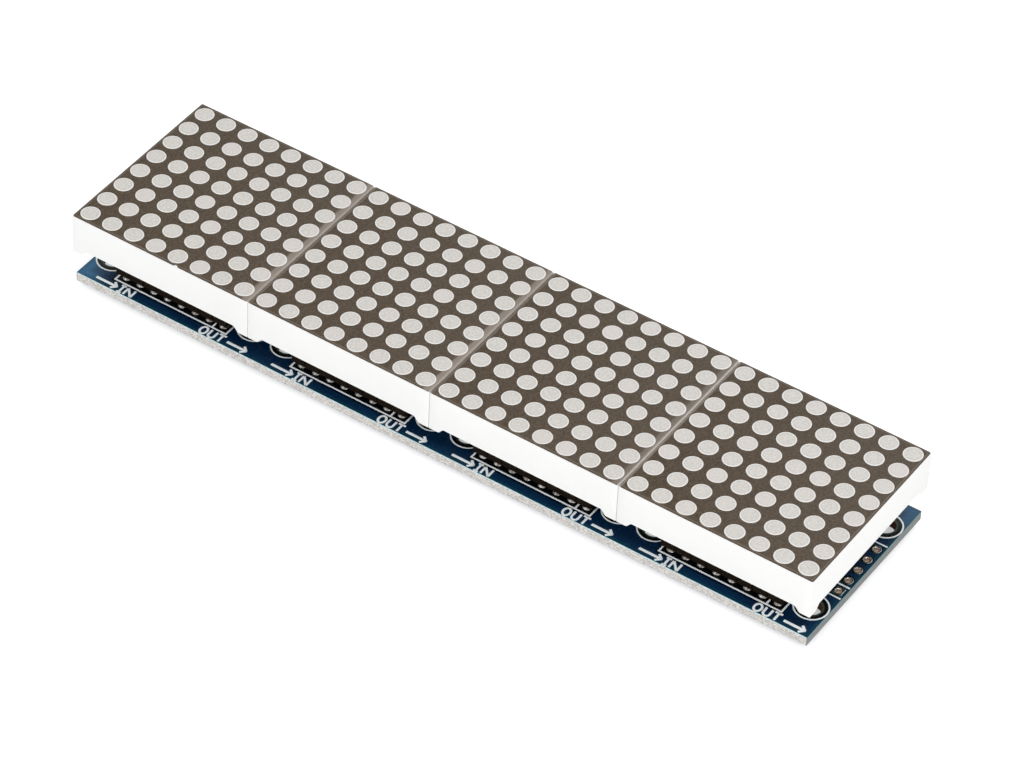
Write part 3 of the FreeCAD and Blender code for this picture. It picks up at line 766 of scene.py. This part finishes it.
# The print is painted paler right beside each seam, on both sides of it.
paler_left_of_seam = (1 - dark.ease(to_seam, 0.14, 0.34)) * (third_seam * 0.20 + 0.60)
paler_right_of_seam = (1 - dark.ease(past_seam, 0.20, 0.50)) * (third_seam * 0.20 + 0.15)
base = dark.blend((paler_left_of_seam + paler_right_of_seam) * by_seams, base, (0.54, 0.49, 0.44, 1))
chipped = dark.reach((x + CHIP_AT[0]) * CHIP_SQUEEZE, y + CHIP_AT[1]) < CHIP_REACH
base = dark.blend(chipped, base, (0.80, 0.79, 0.77, 1))
dark.feed("Base Color", base)
dark.feed("Roughness", dark.between(mottle, 0.44, 0.58) - sheen_band * 0.16)
dark.relief(mottle, 0.010)
for number in range(1, 5):
    low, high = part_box(f"face_print_{number}")
    film = block(low / MM, high / MM)
    upright = [edge for edge in film.edges if abs(edge.verts[0].co.z - edge.verts[1].co.z) > 0.1 * MM]
    soften(film, upright, 0.25, 3)
    soften(film, top_rim(film, high.z), 0.04)
    piece(f"printed_face_{number}", film, [dark], "dark_print", f"face_print_{number}")

# Dots: cast resin ends of the 64 light wells of each display, flush with the print. Each has a
# brighter rim, a faint darker ring inside it and a slightly speckled middle.
DOT_PITCH = 4
DOT_RADIUS = 1.5
DOT_THICKNESS = 0.08
DOT_LEVEL = 14.01
resin = Finish("pale_dot_resin", Base_Color=(0.64, 0.62, 0.59, 1))
x, y = resin.axes()[:2]
radius = resin.reach(x % DOT_PITCH - DOT_PITCH / 2, y % DOT_PITCH - DOT_PITCH / 2)
speckle = resin.grain(0.30, 3)
speckles = resin.ease(speckle, 0.3, 0.7)
well = resin.blend(speckles, (0.54, 0.52, 0.485, 1), (0.68, 0.655, 0.62, 1))
ring = resin.ease(radius, 0.95, 1.10) * (1 - resin.ease(radius, 1.18, 1.30))
well = resin.blend(ring * 0.25, well, (0.50, 0.47, 0.43, 1))
well = resin.blend(resin.ease(radius, 1.26, 1.38), well, (0.79, 0.78, 0.76, 1))
cells = 1000 / DOT_PITCH
cell = resin.node("ShaderNodeMapping", {}, {"Vector": resin.place(), "Scale": (cells, cells, 0)})
dot_cell = resin.node("ShaderNodeVectorMath", {"operation": "FLOOR"}, {0: cell})
tint = resin.node("ShaderNodeTexWhiteNoise", {"noise_dimensions": "2D"}, {"Vector": dot_cell})
well = resin.blend(resin.ease(tint, 0.6, 1.0) * 0.35, well, (0.66, 0.60, 0.58, 1))
resin.feed("Base Color", well)
resin.feed("Roughness", resin.between(speckle, 0.30, 0.46))
resin.relief(speckle, 0.006)
for number, centre in enumerate(MODULE_CENTRES, 1):
    disc = bmesh.new()
    bmesh.ops.create_cone(
        disc,
        cap_ends=True,
        segments=24,
        radius1=DOT_RADIUS * MM,
        radius2=DOT_RADIUS * MM,
        depth=DOT_THICKNESS * MM,
    )
    upper = [edge for edge in disc.edges if all(corner.co.z > 0 for corner in edge.verts)]
    soften(disc, upper, 0.05, 1)
    steps = [DOT_PITCH * (step - 3.5) for step in range(8)]
    places = [(centre + px, py, DOT_LEVEL) for px in steps for py in steps]
    piece(f"resin_dots_{number}", spread(disc, places), [resin], "dot_resin", f"dots_{number}")

# Studio: a white table in soft daylight: a wide window light high on the left, a fill light on the right,
# a light behind and light from all round. The camera stands in front of the output end.
TABLE_GLOW = 0.45
DAYLIGHT = 0.54
floor_shape = bmesh.new()
bmesh.ops.create_grid(floor_shape, x_segments=1, y_segments=1, size=3)
floor_mesh = bpy.data.meshes.new("floor")
floor_shape.to_mesh(floor_mesh)
floor_shape.free()
floor = bpy.data.objects.new("floor", floor_mesh)
bpy.context.scene.collection.objects.link(floor)
floor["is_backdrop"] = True
paper = Finish("white_table", Base_Color=(0.82, 0.82, 0.82, 1), Roughness=0.9, Specular_IOR_Level=0.1)
seen = paper.node("ShaderNodeLightPath", {}, {}, "Is Camera Ray")
mirrored = paper.node("ShaderNodeLightPath", {}, {}, "Is Glossy Ray")
looked_through = paper.node("ShaderNodeLightPath", {}, {}, "Is Transmission Ray")
strength = seen.either(mirrored).either(looked_through) * TABLE_GLOW
glow_sockets = {"Color": (1, 1, 1, 1), "Strength": strength}
glow = paper.node("ShaderNodeEmission", {}, glow_sockets, "Emission")
lit = paper.node("ShaderNodeAddShader", {}, {0: Wire(paper, paper.shader.outputs[0]), 1: glow})
paper.tree.links.new(lit.socket, paper.tree.nodes["Material Output"].inputs["Surface"])
floor_mesh.materials.append(paper.material)

world = bpy.data.worlds.new("studio")
bpy.context.scene.world = world
world.use_nodes = True
sky = world.node_tree
path = sky.nodes.new("ShaderNodeLightPath")
show = sky.nodes.new("ShaderNodeMath")
show.operation = "MAXIMUM"
sky.links.new(path.outputs["Is Camera Ray"], show.inputs[0])
sky.links.new(path.outputs["Is Transmission Ray"], show.inputs[1])
reflect = sky.nodes.new("ShaderNodeMath")
reflect.operation = "MAXIMUM"
sky.links.new(show.outputs[0], reflect.inputs[0])
sky.links.new(path.outputs["Is Glossy Ray"], reflect.inputs[1])
light = sky.nodes.new("ShaderNodeMapRange")
light.inputs["To Min"].default_value = DAYLIGHT
light.inputs["To Max"].default_value = 1.0
sky.links.new(reflect.outputs[0], light.inputs["Value"])
sky.nodes["Background"].inputs["Color"].default_value = (1, 1, 1, 1)
sky.links.new(light.outputs[0], sky.nodes["Background"].inputs["Strength"])


def lamp(name, position, size, watts):
    """A soft square window of light that faces the part."""
    light_data = bpy.data.lights.new(name, "AREA")
    light_data.size = size
    light_data.energy = watts
    placed = bpy.data.objects.new(name, light_data)
    placed.location = position
    placed.rotation_euler = Vector(position).to_track_quat("Z", "Y").to_euler()
    bpy.context.scene.collection.objects.link(placed)


lamp("window", (-0.45, -0.95, 0.72), 0.7, 4.6)
lamp("fill", (0.9, -0.5, 0.6), 0.6, 6.1)
lamp("rear", (0.1, 0.9, 0.9), 0.8, 3.9)

TARGET = Vector((0, 0, 14 * MM))
DISTANCE = 729.1
TURN = 32.444
ELEVATION = 42.459
ROLL = 2.731
camera_data = bpy.data.cameras.new("camera")
camera_data.sensor_fit = "HORIZONTAL"
camera_data.sensor_width = 36
camera_data.lens = 178.38
camera_data.shift_x = 0.01862
camera_data.shift_y = -0.04719
camera_data.clip_start = 0.01
camera = bpy.data.objects.new("camera", camera_data)
swing = Matrix.Rotation(math.radians(TURN), 4, "Z")
tilt = Matrix.Rotation(math.radians(90 - ELEVATION), 4, "X")
roll = Matrix.Rotation(math.radians(ROLL), 4, "Z")
back = Matrix.Translation((0, 0, DISTANCE * MM))
camera.matrix_world = Matrix.Translation(TARGET) @ swing @ tilt @ roll @ back
bpy.context.scene.collection.objects.link(camera)
bpy.context.scene.camera = camera
bpy.context.scene.view_settings.view_transform = "Standard"

# Size: the box round every piece shown, the floor left out.
low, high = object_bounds()
